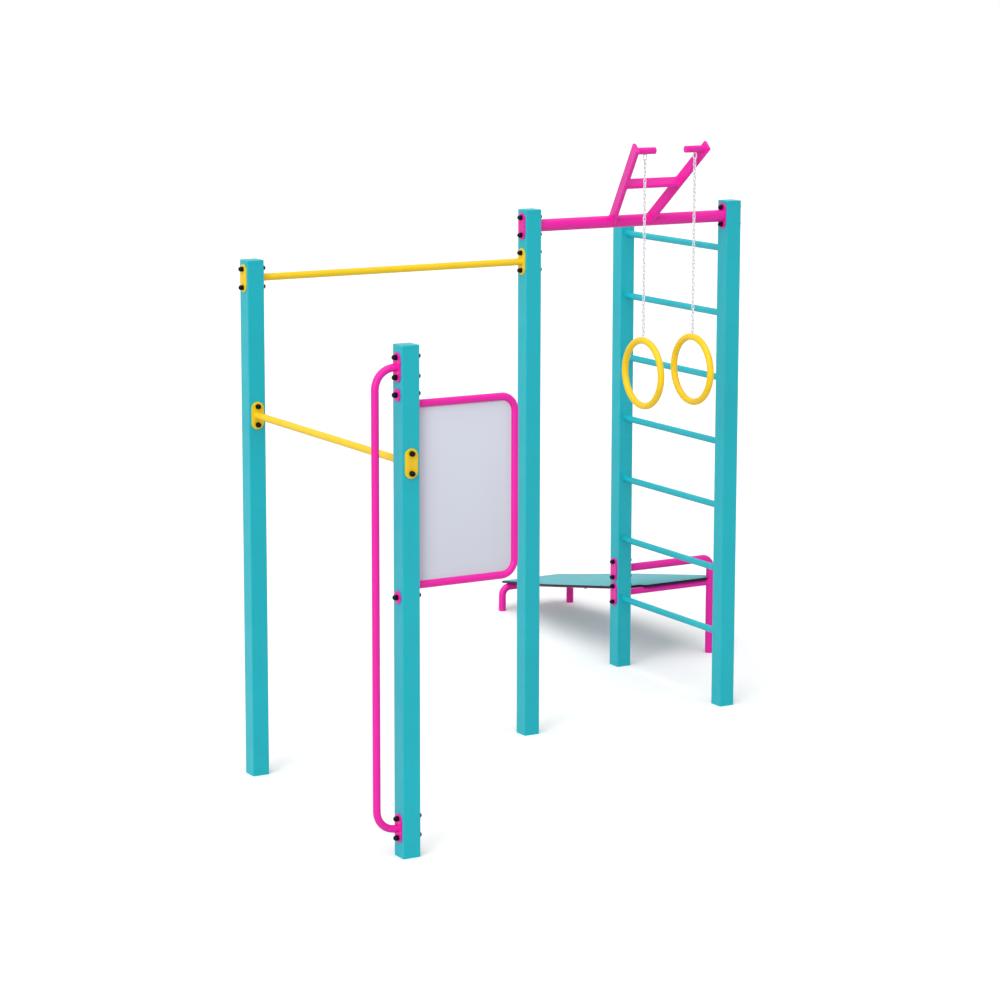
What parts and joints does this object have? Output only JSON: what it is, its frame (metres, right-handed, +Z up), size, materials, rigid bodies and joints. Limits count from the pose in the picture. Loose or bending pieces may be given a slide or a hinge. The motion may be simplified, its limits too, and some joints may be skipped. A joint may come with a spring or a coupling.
{
  "type": "outdoor fitness station",
  "caption": "Outdoor fitness station: square posts with pull-up bars, ladder, hanging rings on chains, stretching pole, information panel and a sloping sit-up bench.",
  "frame": {"origin": "centre of the centre post's foot, on the ground", "axes": "+X along the line of the left, centre and right posts towards the ladder, +Y away from the information panel towards the bench's low end, +Z up"},
  "size_m": [3.4978, 4.1127, 2.954],
  "materials": {
    "teal_paint": "satin powder coat",
    "yellow_paint": "satin powder coat",
    "pink_paint": "satin powder coat",
    "yellow_ring": "smooth moulded plastic",
    "galvanised_steel": "bright zinc",
    "black_cover": "moulded plastic",
    "panel_grey": "matt powder coat",
    "board_laminate": "matt compact laminate, dark core"
  },
  "bodies": {
    "root": {"left_post": "teal_paint", "front_post": "teal_paint", "centre_post": "teal_paint", "rear_post": "teal_paint", "right_post": "teal_paint", "post_caps": "teal_paint", "post_foot_plates": "teal_paint", "ladder_rung_1": "teal_paint", "ladder_rung_2": "teal_paint", "ladder_rung_3": "teal_paint", "ladder_rung_4": "teal_paint", "ladder_rung_5": "teal_paint", "ladder_rung_6": "teal_paint", "ladder_rung_7": "teal_paint", "high_bar": "yellow_paint", "high_bar_plates": "yellow_paint", "low_bar": "yellow_paint", "low_bar_plates": "yellow_paint", "beam": "pink_paint", "beam_plates": "pink_paint", "stretching_pole": "pink_paint", "pole_plates": "pink_paint", "panel_frame": "pink_paint", "panel_lug_bar": "pink_paint", "panel_discs": "pink_paint", "horn_left_arm": "pink_paint", "horn_right_arm": "pink_paint", "horn_crossbar": "pink_paint", "horn_end_plates": "pink_paint", "left_grip": "pink_paint", "right_grip": "pink_paint", "bench_back_tube": "pink_paint", "bench_cross_tube": "pink_paint", "bench_hoop": "pink_paint", "bench_left_rail": "pink_paint", "bench_right_rail": "pink_paint", "bench_plates": "pink_paint", "leg_foot_plates": "pink_paint", "left_chain_eye": "galvanised_steel", "right_chain_eye": "galvanised_steel", "through_bolts": "galvanised_steel", "bolt_nuts": "galvanised_steel", "board_screws": "galvanised_steel", "bolt_covers": "black_cover", "panel_board": "panel_grey", "bench_board": "board_laminate"},
    "left_top_link": {"left_top_link": "galvanised_steel"},
    "left_upper_chain": {"left_upper_chain": "galvanised_steel"},
    "left_lower_chain": {"left_lower_chain": "galvanised_steel"},
    "left_ring": {"left_ring": "yellow_ring", "left_ring_staple": "galvanised_steel"},
    "right_top_link": {"right_top_link": "galvanised_steel"},
    "right_upper_chain": {"right_upper_chain": "galvanised_steel"},
    "right_lower_chain": {"right_lower_chain": "galvanised_steel"},
    "right_ring": {"right_ring": "yellow_ring", "right_ring_staple": "galvanised_steel"}
  },
  "joints": [
    {"name": "left_chain_swing", "type": "hinge", "parent": "root", "child": "left_top_link", "pos_m": [0.436, -0.35276, 2.86878], "axis": [1, 0, 0], "range_deg": [-50, 35]},
    {"name": "left_chain_sway", "type": "hinge", "parent": "left_top_link", "child": "left_upper_chain", "pos_m": [0.436, -0.35276, 2.85078], "axis": [0, 1, 0], "range_deg": [-10, 10]},
    {"name": "left_chain_fold", "type": "hinge", "parent": "left_upper_chain", "child": "left_lower_chain", "pos_m": [0.436, -0.35276, 2.46228], "axis": [1, 0, 0], "range_deg": [-30, 30]},
    {"name": "left_ring_tilt", "type": "hinge", "parent": "left_lower_chain", "child": "left_ring", "pos_m": [0.436, -0.35276, 2.01828], "axis": [1, 0, 0], "range_deg": [-60, 60]},
    {"name": "right_chain_swing", "type": "hinge", "parent": "root", "child": "right_top_link", "pos_m": [0.724, -0.35276, 2.86878], "axis": [1, 0, 0], "range_deg": [-50, 35]},
    {"name": "right_chain_sway", "type": "hinge", "parent": "right_top_link", "child": "right_upper_chain", "pos_m": [0.724, -0.35276, 2.85078], "axis": [0, 1, 0], "range_deg": [-10, 10]},
    {"name": "right_chain_fold", "type": "hinge", "parent": "right_upper_chain", "child": "right_lower_chain", "pos_m": [0.724, -0.35276, 2.46228], "axis": [1, 0, 0], "range_deg": [-30, 30]},
    {"name": "right_ring_tilt", "type": "hinge", "parent": "right_lower_chain", "child": "right_ring", "pos_m": [0.724, -0.35276, 2.01828], "axis": [1, 0, 0], "range_deg": [-60, 60]}
  ]
}
